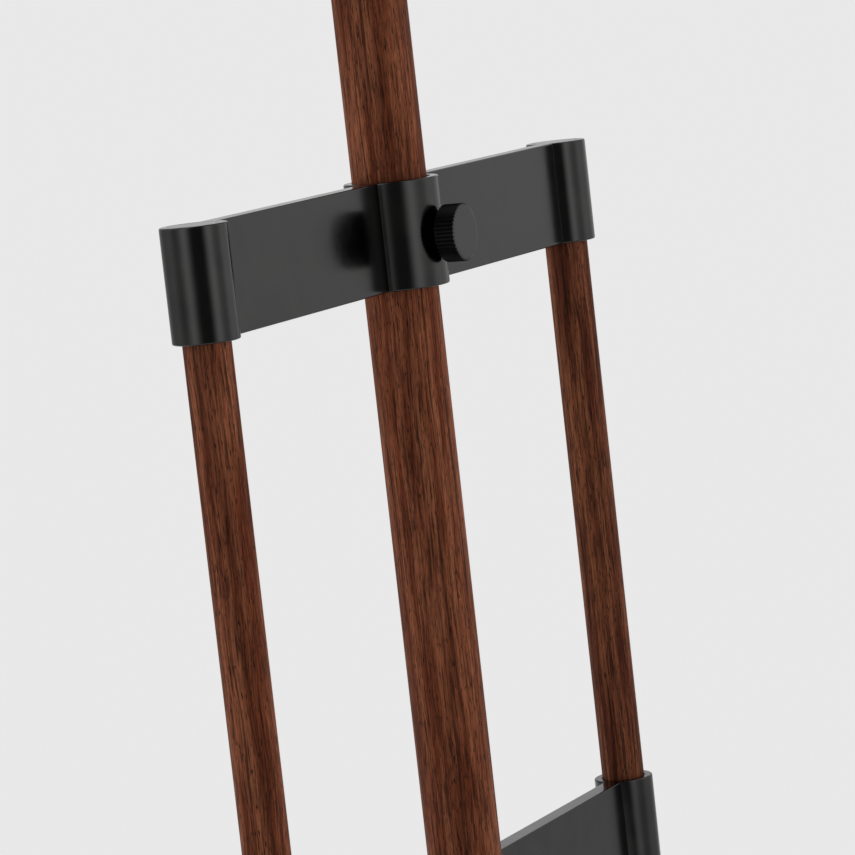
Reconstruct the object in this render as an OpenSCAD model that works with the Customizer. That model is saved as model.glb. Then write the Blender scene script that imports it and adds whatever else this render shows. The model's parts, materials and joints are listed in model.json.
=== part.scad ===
// Floor easel: two side posts and a sliding mast, held by two flat brackets.
// +X is to the right, +Y to the back, +Z up. The feet stand on Z = 0, and the
// origin is the middle of the footprint. Local frames, see Frames below, follow
// the leaning posts and the rear leg.

/* [Posts] */
// Distance between the two side posts, centre to centre
post_spacing = 447.6; // [380:0.1:560]
// Diameter of the side posts and of the rear leg
post_d = 25; // [22:0.1:30]
// Angle by which posts and mast lean back from upright
lean_angle = 7; // [4:0.5:10]

/* [Mast] */
// Diameter of the mast
mast_d = 41; // [34:0.1:50]
// Length of the mast with its two end caps
mast_l = 1450; // [1350:1:1760]
// Where the mast's lower end stands, along the posts
mast_low = 150; // [120:1:180]

/* [Brackets] */
// Where the top face of the upper bracket lies, along the posts
upper_top = 782; // [660:1:840]
// Where the top face of the lower bracket lies, along the posts
lower_top = 400; // [330:1:480]
// Height of a bracket
bracket_h = 59.1; // [49:0.1:72]
// Thickness of the flat bar between the sleeves
bar_t = 11; // [8:0.1:14]
// Wall of the sleeves on the side posts
post_wall = 4.6; // [3.5:0.1:6]
// Wall of every sleeve and collar on the mast
mast_wall = 4.3; // [3.5:0.1:6]
// Radial play of a side post in its sleeve
post_fit = 0.3; // [0.1:0.05:0.5]
// Radial play of the mast in its sleeves and collars
mast_fit = 1.2; // [0.9:0.05:2]
// Gap left where a thumbscrew has pushed the mast to one side of its sleeve
mast_seat = 0.3; // [0.2:0.05:0.5]
// Thickness of the plugs that close the upper side sleeves
plug_t = 4; // [2:0.5:8]

/* [Thumbscrews] */
// Diameter of a thumbscrew's knurled head
knob_d = 31.5; // [26:0.1:36]
// Length of the knurled head
knob_l = 11.6; // [9:0.1:15]
// Diameter of the neck behind the head
neck_d = 18; // [14:0.1:22]
// Length of the neck
neck_l = 3.3; // [2:0.1:6]
// Gap between the neck and its sleeve when the screw is tight
neck_gap = 0.6; // [0.4:0.1:2]
// Diameter of the threaded stud
stud_d = 6; // [5:0.1:7]
// Length of stud held inside the head
stud_grip = 7; // [5:0.1:8.5]
// Distance of the upper thumbscrew below the top of its bracket
lock_drop = 31.6; // [24:0.1:36]
// Length of the plastic tip that presses on the mast
tip_l = 1.4; // [1:0.1:2]

/* [Canvas ledge] */
// Where the ledge's collar starts, along the posts
ledge_low = 960; // [950:1:1000]
// Height of the ledge's collar
ledge_collar_h = 45; // [38:0.5:60]
// Width of the ledge
tray_w = 400; // [300:1:480]
// Depth of the ledge from the mast to its lip
tray_depth = 72; // [55:1:95]
// Thickness of the ledge board
tray_t = 16; // [12:0.5:20]
// Height of the lip above the ledge board
lip_rise = 16; // [10:0.5:24]
// Thickness of the lip
lip_t = 10; // [8:0.5:14]

/* [Top holder] */
// Where the top holder's collar starts, along the posts
holder_low = 1440; // [1420:1:1460]
// Height of the top holder's collar
holder_collar_h = 40; // [34:0.5:50]
// Width of the top holder's board
holder_w = 90; // [60:1:140]

/* [Rear leg] */
// Angle between the rear leg and upright
leg_angle = 32; // [26:0.5:38]
// Thickness of the rear leg's hinge tongue
tongue_t = 10; // [8:0.5:12]
// Thickness of each ear of the hinge bracket
ear_t = 5; // [4:0.5:8]
// Diameter of the hinge pin
pin_d = 8; // [6:0.1:10]
// Distance from the hinge bracket's plate to the pin
pin_reach = 17.5; // [17:0.1:22]
// Length of the metal socket on the rear leg
socket_l = 50; // [40:1:70]

/* [Feet] */
// Diameter of the rubber pads
pad_d = 32; // [30:0.5:38]
// Thickness of a front pad at its centre
pad_t = 14; // [10:0.5:20]
// Thickness of the rear pad at its centre
rear_pad_t = 22; // [19:0.5:28]
// Length of the metal ferrules
ferrule_l = 34; // [24:1:50]
// Wall of the ferrules and of the leg socket
ferrule_wall = 1.8; // [1.2:0.1:3]

/* [Screws] */
// Diameter of the bracket screws and the grub screws
screw_d = 5; // [4:0.1:6]
// Diameter of the wood screws
wood_screw_d = 4; // [3:0.1:5]
// Thickness of the bent metal plates under the boards
plate_t = 4; // [3:0.5:6]

/* [Hidden] */
$fn = 96;

// Small distances
eps = 0.5;              // overshoot of a cutting body
slip = 0.05;            // radial clearance of screws and pins in their holes
stop_gap = 0.3;         // gap at a stop between two moving bodies
floor_box = 3000;       // size of the block that trims the feet at the floor

// Radii of the posts, the mast and their sleeves
post_r = post_d / 2;
post_bore_r = post_r + post_fit;
post_sleeve_r = post_bore_r + post_wall;
mast_r = mast_d / 2;
mast_bore_r = mast_r + mast_fit;
mast_sleeve_r = mast_bore_r + mast_wall;
set_back = mast_fit - mast_seat;        // how far a thumbscrew pushes the mast off centre
post_x = [-post_spacing / 2, post_spacing / 2];

// Thumbscrew, measured outwards from the mast's axis
sleeve_face = set_back + mast_sleeve_r;         // outer face of the sleeve at the screw
neck_start = sleeve_face + neck_gap;
knob_start = neck_start + neck_l;
knob_end = knob_start + knob_l;
tip_start = mast_r + stop_gap;
stud_start = tip_start + tip_l + 0.1;
tip_r = stud_d / 2 - 0.4;
tip_peg_r = 1.2;
tip_peg_l = 3;

// Hinge bracket on the back of the lower mast sleeve
base_w = 30;                                    // width of its plate
base_t = 6;                                     // thickness of the plate behind the sleeve
base_h = bracket_h - 8;
base_back = mast_sleeve_r - set_back + base_t;  // rear face of the plate
hinge_s = lower_top - bracket_h / 2;            // height of the pin along the posts
hinge_y = base_back + pin_reach;                // distance of the pin behind the mast's axis
tongue_r = 11;
ear_r = 12;
ear_gap = 0.3;
heel_h = 14;
base_screw_rise = base_h / 2 - 6;

// Rear leg, measured down from the hinge pin
socket_top = 18;
socket_floor = 4;
socket_r = post_r + post_fit + ferrule_wall + 0.8;
socket_flat = socket_r - 0.7;                   // distance of the flat under the screw's head

// Place of the frame on the floor, so that the origin is the middle of the footprint
hinge_back = hinge_y * cos(lean_angle) + hinge_s * sin(lean_angle);
hinge_up = hinge_s * cos(lean_angle) - hinge_y * sin(lean_angle);
leg_reach = hinge_back + hinge_up * tan(leg_angle);
pad_r = pad_d / 2;
frame_y = -(leg_reach + pad_r / cos(leg_angle) - pad_r / cos(lean_angle)) / 2;
leg_l = hinge_up / cos(leg_angle);

// Ferrules, with a peg of the pad passing through the floor of each
ferrule_floor = 2;
ferrule_r = post_r + slip + ferrule_wall;
peg_r = 4;
peg_l = 12;

// Mast ends
cap_t = 6;
cap_peg_r = 6;
cap_peg_l = 12;

// Boards and plates on the two collars
lug_w = 40;
lug_y = -(mast_sleeve_r + 8);                   // front face of a collar's lug
plate_face = lug_y - plate_t;
board_back = -(mast_r + 2.5);                   // rear edge of the boards
board_front = board_back - tray_depth;
plate_reach = tray_depth * 0.75;
plate_screw_x = 12;
board_screw_y = [board_front + 22, board_front + 42];
ledge_top = ledge_low + ledge_collar_h + plate_t;   // underside of the ledge board

// Screws: their heads, sockets and pilot bores, and how deep each bites
head_h = 2.6;
pan_head_r = screw_d * 0.85;
wood_head_r = wood_screw_d * 0.9;
hex_share = 0.6;        // a hexagon socket's width over its corners, as a share of the screw
hex_depth = 1.5;
lug_bite = 8;           // plate screws into a lug
wood_bite = 10;         // wood screws into a board or into the rear leg
lip_bite = 15;          // wood screws through a lip into its board
bore_spare = 1;         // depth of a blind bore beyond what it holds
lip_screw_inset = 30;   // distance of the outer lip screws from their board's ends

// Hinge pin and its clip
pin_head_t = 2.5;
pin_tail = 4;           // how far the pin stands out past the right ear
groove_gap = 0.2;       // distance of the clip's groove from that ear
groove_w = 1.2;
groove_r = pin_d / 2 - 1;
clip_t = 1;

// Frames. lean() is at the foot of the posts with +Z along them.
module lean() {
    translate([0, frame_y, 0]) rotate([-lean_angle, 0, 0]) children();
}

// On the mast's axis at height s, with -Y pointing out along a thumbscrew.
// side is 1 for a screw at the front and -1 for one at the back.
module screw_frame(s, side) {
    lean() translate([0, 0, s]) rotate([0, 0, side > 0 ? 0 : 180]) children();
}

// At the hinge pin, with -Z pointing down the open rear leg
module leg_frame() {
    translate([0, frame_y + hinge_back, hinge_up]) rotate([leg_angle, 0, 0]) children();
}

// A cylinder along -Y from distance a to distance b
module rod_y(r, a, b) {
    translate([0, -a, 0]) rotate([90, 0, 0]) cylinder(r = r, h = b - a);
}

// Keeps what is above the floor
module above_floor() {
    difference() {
        children();
        translate([-floor_box / 2, -floor_box / 2, -floor_box]) cube([floor_box, floor_box, floor_box]);
    }
}

module side_post(x, top) {
    color("saddlebrown") lean() difference() {
        translate([x, 0, pad_t + ferrule_floor]) cylinder(r = post_r, h = top - pad_t - ferrule_floor);
        translate([x, 0, pad_t]) cylinder(r = peg_r + slip, h = peg_l + bore_spare);
    }
}

module side_post_left() { side_post(post_x[0], upper_top - plug_t); }

module side_post_right() { side_post(post_x[1], upper_top - plug_t); }

// One bracket: two side sleeves and the mast's sleeve, joined by a flat bar
module bracket_body(top) {
    difference() {
        translate([0, 0, top - bracket_h]) union() {
            translate([-post_spacing / 2, -bar_t / 2, 0]) cube([post_spacing, bar_t, bracket_h]);
            for (x = post_x) translate([x, 0, 0]) cylinder(r = post_sleeve_r, h = bracket_h);
            translate([0, -set_back, 0]) cylinder(r = mast_sleeve_r, h = bracket_h);
        }
        translate([0, 0, top - bracket_h - eps]) {
            for (x = post_x) translate([x, 0, 0]) cylinder(r = post_bore_r, h = bracket_h + 2 * eps);
            translate([0, -set_back, 0]) cylinder(r = mast_bore_r, h = bracket_h + 2 * eps);
        }
        for (x = post_x) translate([x, 0, top - bracket_h / 2])
            rod_y(screw_d / 2 + slip, -post_sleeve_r - eps, 0);
    }
}

module upper_bracket() {
    color("dimgray") lean() difference() {
        bracket_body(upper_top);
        translate([0, 0, upper_top - lock_drop]) rod_y(stud_d / 2 + slip, mast_r, sleeve_face + eps);
    }
}

module lower_bracket() {
    color("dimgray") lean() difference() {
        bracket_body(lower_top);
        for (dz = [-base_screw_rise, base_screw_rise]) translate([0, 0, hinge_s + dz])
            rod_y(screw_d / 2 + slip, -base_back, 0);
    }
}

module sleeve_plug(x) {
    color("dimgray") lean() translate([x, 0, upper_top - plug_t])
        cylinder(r = post_bore_r - slip, h = plug_t);
}

module sleeve_plug_left() { sleeve_plug(post_x[0]); }

module sleeve_plug_right() { sleeve_plug(post_x[1]); }

// Four grub screws at the back of the side sleeves, each with a hexagon socket
module grub_screws() {
    tail = post_sleeve_r - 0.4;
    color("silver") lean() for (x = post_x, top = [upper_top, lower_top])
        translate([x, 0, top - bracket_h / 2]) difference() {
            rod_y(screw_d / 2, -tail, -post_r);
            translate([0, tail + eps, 0]) rotate([90, 0, 0])
                cylinder(d = screw_d * 0.5, h = 2 + eps, $fn = 6);
        }
}

// A ferrule and its pad stand on +Z, with the pad's underside at the floor
module ferrule_body(pad) {
    translate([0, 0, pad]) difference() {
        cylinder(r = ferrule_r, h = ferrule_l);
        translate([0, 0, ferrule_floor]) cylinder(r = post_r + slip, h = ferrule_l);
        translate([0, 0, -eps]) cylinder(r = peg_r + slip, h = ferrule_floor + 2 * eps);
    }
}

module pad_body(pad) {
    translate([0, 0, -pad_r]) cylinder(r = pad_r, h = pad + pad_r);
    translate([0, 0, pad - 1]) cylinder(r = peg_r, h = peg_l + 1);
}

module foot_ferrule_left() { color("dimgray") lean() translate([post_x[0], 0, 0]) ferrule_body(pad_t); }

module foot_ferrule_right() { color("dimgray") lean() translate([post_x[1], 0, 0]) ferrule_body(pad_t); }

module foot_pad_left() {
    color("black") above_floor() lean() translate([post_x[0], 0, 0]) pad_body(pad_t);
}

module foot_pad_right() {
    color("black") above_floor() lean() translate([post_x[1], 0, 0]) pad_body(pad_t);
}

// Hinge bracket: a saddle plate on the sleeve with two ears for the pin
module hinge_bracket() {
    inner = tongue_t / 2 + ear_gap;
    color("dimgray") lean() translate([0, 0, hinge_s]) difference() {
        union() {
            translate([-base_w / 2, 0, -base_h / 2]) cube([base_w, base_back, base_h]);
            for (x = [-inner - ear_t, inner]) {
                translate([x, base_back - eps, -ear_r]) cube([ear_t, pin_reach + eps, 2 * ear_r]);
                translate([x, hinge_y, 0]) rotate([0, 90, 0]) cylinder(r = ear_r, h = ear_t);
            }
        }
        translate([0, -set_back, -base_h]) cylinder(r = mast_sleeve_r, h = 2 * base_h);
        translate([-base_w, hinge_y, 0]) rotate([0, 90, 0]) cylinder(r = pin_d / 2 + slip, h = 2 * base_w);
        for (dz = [-base_screw_rise, base_screw_rise]) translate([0, 0, dz]) {
            rod_y(screw_d / 2 + slip, -base_back - eps, 0);
            translate([0, base_back - head_h, 0]) rotate([-90, 0, 0])
                cylinder(r1 = screw_d / 2 + slip, r2 = screw_d / 2 + head_h, h = head_h + 0.001);
        }
    }
}

// Countersunk screws through the hinge bracket into the sleeve's wall
module hinge_bracket_screws() {
    tail = mast_bore_r - set_back + 0.6;
    color("silver") lean() for (dz = [-base_screw_rise, base_screw_rise])
        translate([0, 0, hinge_s + dz]) difference() {
            union() {
                rod_y(screw_d / 2, -base_back + 0.2, -tail);
                translate([0, base_back - head_h, 0]) rotate([-90, 0, 0])
                    cylinder(r1 = screw_d / 2, r2 = screw_d / 2 + head_h - 0.3, h = head_h - 0.2);
            }
            translate([0, base_back + eps, 0]) rotate([90, 0, 0])
                cylinder(d = screw_d * hex_share, h = 2 + eps, $fn = 6);
        }
}

// Pin with a head on the left and a groove for its clip on the right
module hinge_pin() {
    out = tongue_t / 2 + ear_gap + ear_t;
    color("silver") lean() translate([0, hinge_y, hinge_s]) rotate([0, 90, 0]) difference() {
        union() {
            translate([0, 0, -out - pin_head_t]) cylinder(r = pin_d * 0.8, h = pin_head_t);
            translate([0, 0, -out]) cylinder(r = pin_d / 2, h = 2 * out + pin_tail);
        }
        translate([0, 0, out + groove_gap]) difference() {
            cylinder(r = pin_d, h = groove_w);
            translate([0, 0, -eps]) cylinder(r = groove_r, h = groove_w + 2 * eps);
        }
    }
}

module hinge_pin_clip() {
    out = tongue_t / 2 + ear_gap + ear_t + groove_gap + (groove_w - clip_t) / 2;
    color("silver") lean() translate([out, hinge_y, hinge_s]) rotate([0, 90, 0]) difference() {
        cylinder(r = pin_d * 0.85, h = clip_t);
        translate([0, 0, -eps]) cylinder(r = groove_r + slip, h = clip_t + 2 * eps);
        translate([-0.35 * pin_d, 0, -eps]) cube([0.7 * pin_d, pin_d, clip_t + 2 * eps]);
    }
}

module mast() {
    bore_l = cap_t + cap_peg_l + bore_spare;
    color("saddlebrown") lean() difference() {
        translate([0, 0, mast_low + cap_t]) cylinder(r = mast_r, h = mast_l - 2 * cap_t);
        for (z = [mast_low, mast_low + mast_l - bore_l]) translate([0, 0, z])
            cylinder(r = cap_peg_r + slip, h = bore_l);
    }
}

module end_cap() {
    cylinder(r = mast_r, h = cap_t);
    translate([0, 0, cap_t - 1]) cylinder(r = cap_peg_r, h = cap_peg_l + 1);
}

module mast_top_cap() {
    color("dimgray") lean() translate([0, 0, mast_low + mast_l]) rotate([180, 0, 0]) end_cap();
}

module mast_foot_cap() { color("black") lean() translate([0, 0, mast_low]) end_cap(); }

// The three parts of a thumbscrew, along -Y
module knob_body() {
    difference() {
        union() {
            rod_y(knob_d / 2, knob_start, knob_end);
            rod_y(neck_d / 2, neck_start, knob_start + 1);
        }
        rod_y(stud_d / 2, neck_start - eps, knob_start + stud_grip);
    }
}

module stud_body() {
    difference() {
        rod_y(stud_d / 2, stud_start, knob_start + stud_grip);
        rod_y(tip_peg_r + slip, stud_start - eps, stud_start + tip_peg_l + 0.3);
    }
}

module tip_body() {
    rod_y(tip_r, tip_start, tip_start + tip_l);
    rod_y(tip_peg_r, tip_start + tip_l / 2, stud_start + tip_peg_l);
}

lock_s = upper_top - lock_drop;
ledge_lock_s = ledge_low + ledge_collar_h / 2;
holder_lock_s = holder_low + holder_collar_h / 2;

module lock_knob() { color("black") screw_frame(lock_s, 1) knob_body(); }

module lock_stud() { color("silver") screw_frame(lock_s, 1) stud_body(); }

module lock_tip() { color("ivory") screw_frame(lock_s, 1) tip_body(); }

module ledge_knob() { color("black") screw_frame(ledge_lock_s, -1) knob_body(); }

module ledge_stud() { color("silver") screw_frame(ledge_lock_s, -1) stud_body(); }

module ledge_tip() { color("ivory") screw_frame(ledge_lock_s, -1) tip_body(); }

module holder_knob() { color("black") screw_frame(holder_lock_s, -1) knob_body(); }

module holder_stud() { color("silver") screw_frame(holder_lock_s, -1) stud_body(); }

module holder_tip() { color("ivory") screw_frame(holder_lock_s, -1) tip_body(); }

// A collar on the mast, pushed back by its thumbscrew, with a flat lug at the front
module collar(low, h) {
    color("dimgray") lean() translate([0, 0, low]) difference() {
        union() {
            translate([0, set_back, 0]) cylinder(r = mast_sleeve_r, h = h);
            translate([-lug_w / 2, lug_y, 0]) cube([lug_w, -lug_y, h]);
        }
        translate([0, set_back, -eps]) cylinder(r = mast_bore_r, h = h + 2 * eps);
        translate([0, 0, h / 2]) rod_y(stud_d / 2 + slip, -sleeve_face - eps, -mast_r);
        for (x = [-plate_screw_x, plate_screw_x]) translate([x, 0, h / 2])
            rod_y(screw_d / 2 + slip, -lug_y - lug_bite - bore_spare, -lug_y + eps);
    }
}

// An angle plate on a collar's lug, from height low to top. Its flat leg, which carries
// a board, has its underside at height flat, and its two screws are at height s
module angle_plate(low, top, flat, s) {
    color("dimgray") lean() difference() {
        union() {
            translate([-lug_w / 2, plate_face, low]) cube([lug_w, plate_t, top - low]);
            translate([-lug_w / 2, lug_y - plate_reach, flat]) cube([lug_w, plate_reach, plate_t]);
        }
        for (x = [-plate_screw_x, plate_screw_x]) translate([x, 0, s])
            rod_y(screw_d / 2 + slip, -lug_y - eps, -plate_face + eps);
        for (y = board_screw_y) translate([0, y, flat - eps])
            cylinder(r = wood_screw_d / 2 + slip, h = plate_t + 2 * eps);
    }
}

// Pan-head screws through an angle plate into its lug
module plate_screws(s) {
    color("silver") lean() for (x = [-plate_screw_x, plate_screw_x]) translate([x, 0, s]) difference() {
        union() {
            rod_y(screw_d / 2, -lug_y - lug_bite, -plate_face + eps);
            rod_y(pan_head_r, -plate_face, -plate_face + head_h);
        }
        rotate([90, 0, 0]) translate([0, 0, -plate_face + head_h - hex_depth])
            cylinder(d = screw_d * hex_share, h = hex_depth + eps, $fn = 6);
    }
}

// Wood screws from an angle plate at height s into a board. up is 1 or -1
module board_screws(s, up) {
    color("silver") lean() for (y = board_screw_y) translate([0, y, s]) rotate([up > 0 ? 0 : 180, 0, 0])
        difference() {
            union() {
                translate([0, 0, -plate_t - head_h]) cylinder(r = wood_head_r, h = head_h);
                translate([0, 0, -plate_t - eps])
                    cylinder(r = wood_screw_d / 2, h = plate_t + wood_bite + eps);
            }
            translate([0, 0, -plate_t - head_h - eps])
                cylinder(d = wood_screw_d * hex_share, h = hex_depth + eps, $fn = 6);
        }
}

// Places along X of the three screws that hold the lip of a board w wide
function lip_screw_x(w) = [-w / 2 + lip_screw_inset, 0, w / 2 - lip_screw_inset];

// A board w wide from height s, up or down, with holes for its screws
module board(w, s, up) {
    low = up > 0 ? s : s - tray_t;
    bore_l = wood_bite + bore_spare;
    color("saddlebrown") lean() difference() {
        translate([-w / 2, board_front, low]) cube([w, tray_depth, tray_t]);
        for (y = board_screw_y) translate([0, y, up > 0 ? s - eps : s - bore_l])
            cylinder(r = wood_screw_d / 2 + slip, h = bore_l + eps);
        for (x = lip_screw_x(w)) translate([x, 0, low + tray_t / 2])
            rod_y(wood_screw_d / 2 + slip, -board_front - lip_bite - bore_spare, -board_front + eps);
    }
}

// A lip across the front edge of a board, standing past it by lip_rise
module lip(w, s, up) {
    low = up > 0 ? s : s - tray_t - lip_rise;
    mid = up > 0 ? s + tray_t / 2 : s - tray_t / 2;
    color("saddlebrown") lean() difference() {
        translate([-w / 2, board_front - lip_t, low]) cube([w, lip_t, tray_t + lip_rise]);
        for (x = lip_screw_x(w)) translate([x, 0, mid])
            rod_y(wood_screw_d / 2 + slip, -board_front - eps, -board_front + lip_t + eps);
    }
}

module lip_screws(w, mid) {
    color("silver") lean() for (x = lip_screw_x(w)) translate([x, 0, mid]) difference() {
        union() {
            rod_y(wood_screw_d / 2, -board_front - lip_bite, -board_front + lip_t + eps);
            rod_y(wood_head_r, -board_front + lip_t, -board_front + lip_t + head_h);
        }
        rotate([90, 0, 0]) translate([0, 0, -board_front + lip_t + head_h - hex_depth])
            cylinder(d = wood_screw_d * hex_share, h = hex_depth + eps, $fn = 6);
    }
}

module ledge_collar() { collar(ledge_low, ledge_collar_h); }

module ledge_plate() { angle_plate(ledge_low, ledge_top, ledge_top - plate_t, ledge_lock_s); }

module ledge_board() { board(tray_w, ledge_top, 1); }

module ledge_lip() { lip(tray_w, ledge_top, 1); }

module ledge_plate_screws() { plate_screws(ledge_lock_s); }

module ledge_board_screws() { board_screws(ledge_top, 1); }

module ledge_lip_screws() { lip_screws(tray_w, ledge_top + tray_t / 2); }

// The top holder is the ledge turned over: its angle plate lies under its collar
holder_top = holder_low - plate_t;

module holder_collar() { collar(holder_low, holder_collar_h); }

module holder_plate() {
    angle_plate(holder_top, holder_top + plate_t + holder_collar_h, holder_top, holder_lock_s);
}

module holder_board() { board(holder_w, holder_top, -1); }

module holder_lip() { lip(holder_w, holder_top, -1); }

module holder_plate_screws() { plate_screws(holder_lock_s); }

module holder_board_screws() { board_screws(holder_top, -1); }

module holder_lip_screws() { lip_screws(holder_w, holder_top - tray_t / 2); }

// Socket of the rear leg: a tongue round the pin, a heel that rests on the hinge
// bracket's plate when the leg is open, and a sleeve that holds the leg
module leg_socket() {
    color("dimgray") leg_frame() difference() {
        union() {
            rotate([0, 90, 0]) translate([0, 0, -tongue_t / 2]) cylinder(r = tongue_r, h = tongue_t);
            rotate([-leg_angle - lean_angle, 0, 0])
                translate([-tongue_t / 2, -pin_reach + stop_gap, 0])
                cube([tongue_t, pin_reach - stop_gap, heel_h]);
            translate([-tongue_t / 2, -tongue_r, -socket_top - 1])
                cube([tongue_t, 2 * tongue_r, socket_top + 1]);
            translate([0, 0, -socket_top - socket_l]) cylinder(r = socket_r, h = socket_l);
        }
        rotate([0, 90, 0]) translate([0, 0, -tongue_t]) cylinder(r = pin_d / 2 + slip, h = 2 * tongue_t);
        translate([0, 0, -socket_top - socket_l - eps])
            cylinder(r = post_r + slip, h = socket_l - socket_floor + eps);
        translate([0, 0, -socket_top - socket_l / 2]) {
            rod_y(wood_screw_d / 2 + slip, -socket_r - eps, 0);
            rod_y(wood_head_r + 2 * slip, -socket_r - eps, -socket_flat);
        }
    }
}

// One screw from the back through the socket into the leg
module leg_socket_screw() {
    color("silver") leg_frame() translate([0, 0, -socket_top - socket_l / 2]) difference() {
        union() {
            rod_y(wood_screw_d / 2, -socket_flat - eps, -post_r + wood_bite);
            rod_y(wood_head_r, -socket_flat - head_h, -socket_flat);
        }
        translate([0, socket_flat + head_h + eps, 0]) rotate([90, 0, 0])
            cylinder(d = wood_screw_d * hex_share, h = hex_depth + eps, $fn = 6);
    }
}

module rear_leg() {
    top = socket_top + socket_floor;
    foot = leg_l - rear_pad_t - ferrule_floor;
    color("saddlebrown") leg_frame() difference() {
        translate([0, 0, -foot]) cylinder(r = post_r, h = foot - top);
        translate([0, 0, -foot - eps]) cylinder(r = peg_r + slip, h = peg_l + bore_spare + eps);
        translate([0, 0, -socket_top - socket_l / 2])
            rod_y(wood_screw_d / 2 + slip, -post_r - eps, -post_r + wood_bite + bore_spare);
    }
}

module rear_ferrule() { color("dimgray") leg_frame() translate([0, 0, -leg_l]) ferrule_body(rear_pad_t); }

module rear_foot_pad() {
    color("black") above_floor() leg_frame() translate([0, 0, -leg_l]) pad_body(rear_pad_t);
}

side_post_left();
side_post_right();
upper_bracket();
lower_bracket();
sleeve_plug_left();
sleeve_plug_right();
grub_screws();
foot_ferrule_left();
foot_ferrule_right();
foot_pad_left();
foot_pad_right();
hinge_bracket();
hinge_bracket_screws();
hinge_pin();
hinge_pin_clip();
mast();
mast_top_cap();
mast_foot_cap();
lock_knob();
lock_stud();
lock_tip();
ledge_collar();
ledge_plate();
ledge_board();
ledge_lip();
ledge_plate_screws();
ledge_board_screws();
ledge_lip_screws();
ledge_knob();
ledge_stud();
ledge_tip();
holder_collar();
holder_plate();
holder_board();
holder_lip();
holder_plate_screws();
holder_board_screws();
holder_lip_screws();
holder_knob();
holder_stud();
holder_tip();
leg_socket();
leg_socket_screw();
rear_leg();
rear_ferrule();
rear_foot_pad();
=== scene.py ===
# %% [markdown]
# # A floor easel with round posts, a sliding mast and knurled thumbscrews
# The easel is already designed as solids. This lesson loads them as a fixed frame, rebuilds the
# pieces whose edges and surfaces matter to the eye, and gives every piece a finish made of nodes.
# One frame is shared: metres, +X to the right, +Y to the back, +Z up, the feet on Z = 0.

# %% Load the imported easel
import json
import math

import bmesh
import bpy
from mathutils import Matrix, Vector


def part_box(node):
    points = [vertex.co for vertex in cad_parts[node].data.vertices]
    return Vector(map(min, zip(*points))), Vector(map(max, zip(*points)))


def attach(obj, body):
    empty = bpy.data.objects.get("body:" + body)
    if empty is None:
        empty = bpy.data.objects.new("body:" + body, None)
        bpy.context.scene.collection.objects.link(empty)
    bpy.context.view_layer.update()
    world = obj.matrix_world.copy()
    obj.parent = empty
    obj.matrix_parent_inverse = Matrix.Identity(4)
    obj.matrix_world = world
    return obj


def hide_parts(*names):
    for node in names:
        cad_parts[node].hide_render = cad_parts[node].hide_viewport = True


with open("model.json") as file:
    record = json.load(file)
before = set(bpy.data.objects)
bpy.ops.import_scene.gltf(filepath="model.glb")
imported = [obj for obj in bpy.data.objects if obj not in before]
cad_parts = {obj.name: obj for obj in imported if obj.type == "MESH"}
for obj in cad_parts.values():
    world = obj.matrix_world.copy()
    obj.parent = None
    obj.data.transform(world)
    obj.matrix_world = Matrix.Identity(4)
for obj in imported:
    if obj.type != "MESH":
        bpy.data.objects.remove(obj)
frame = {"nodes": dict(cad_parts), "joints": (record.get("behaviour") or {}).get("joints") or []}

for name in ("Cube", "Light", "Camera"):
    if name in bpy.data.objects:
        bpy.data.objects.remove(bpy.data.objects[name])
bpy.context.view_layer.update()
MM = 0.001

# %% [markdown]
# ## Two tilted frames
# The posts and the mast lean back, and the rear leg slopes the other way. Every piece is easiest
# to build upright, so each is made in the frame of the post it belongs to and then carried over by
# one matrix. The angles come from the solids: the mast's sliding direction, and the line from the
# hinge pin to the middle of the rear leg.

# %% The matrices of the leaning frame and of the rear leg
slide = next(j for j in frame["joints"] if j["name"] == "mast_slide")
lean = math.atan2(slide["axis"][1], slide["axis"][2])


def middle(node):
    low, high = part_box(node)
    return (low + high) / 2


mast_middle = middle("mast")
frame_y = mast_middle.y - mast_middle.z * math.tan(lean)
LEAN = Matrix.Translation((0, frame_y, 0)) @ Matrix.Rotation(-lean, 4, "X")
pin = middle("hinge_pin")
pin.x = 0
along_leg = middle("rear_leg") - pin
slope = math.atan2(along_leg.y, -along_leg.z)
LEG = Matrix.Translation(pin) @ Matrix.Rotation(slope, 4, "X")
print("posts lean", round(math.degrees(lean), 2), "and the leg slopes", round(math.degrees(slope), 2))


# %% Measure a solid in the frame of its post
def local_points(node, place):
    back = place.inverted()
    return [back @ v.co for v in frame["nodes"][node].data.vertices]


def local_box(node, place=LEAN):
    points = local_points(node, place)
    low = Vector([min(p[i] for p in points) for i in range(3)])
    high = Vector([max(p[i] for p in points) for i in range(3)])
    return low, high


def round_size(node, place=LEAN):
    """Axis x and y, radius, lowest and highest z of a round solid that stands in that frame."""
    low, high = local_box(node, place)
    x, y = (low.x + high.x) / 2, (low.y + high.y) / 2
    radius = max(math.hypot(p.x - x, p.y - y) for p in local_points(node, place))
    return x, y, radius, low.z, high.z


post_x, _, post_r, _, _ = round_size("side_post_right")
mast_r = round_size("mast")[2]
print("posts at", round(post_x / MM, 1), "mm, diameter", round(2 * post_r / MM, 1))
print("mast diameter", round(2 * mast_r / MM, 1))

# %% [markdown]
# ## Turning a built shape into a finished piece
# A finished piece is a plain mesh whose object sits at the origin: its modifiers are settled into
# the mesh and its place is in its vertices. Round edges are shaded smooth and hard ones stay
# sharp. Weighted normals let the large flat faces win over the narrow rounded edges, so that a
# flat face really looks flat.


# %% Helpers that settle, shade and place a piece
HARD_EDGE = 35      # faces that meet at more degrees than this have a hard edge between them


def new_object(name, data):
    obj = bpy.data.objects.new(name, data)
    bpy.context.scene.collection.objects.link(obj)
    return obj


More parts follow.
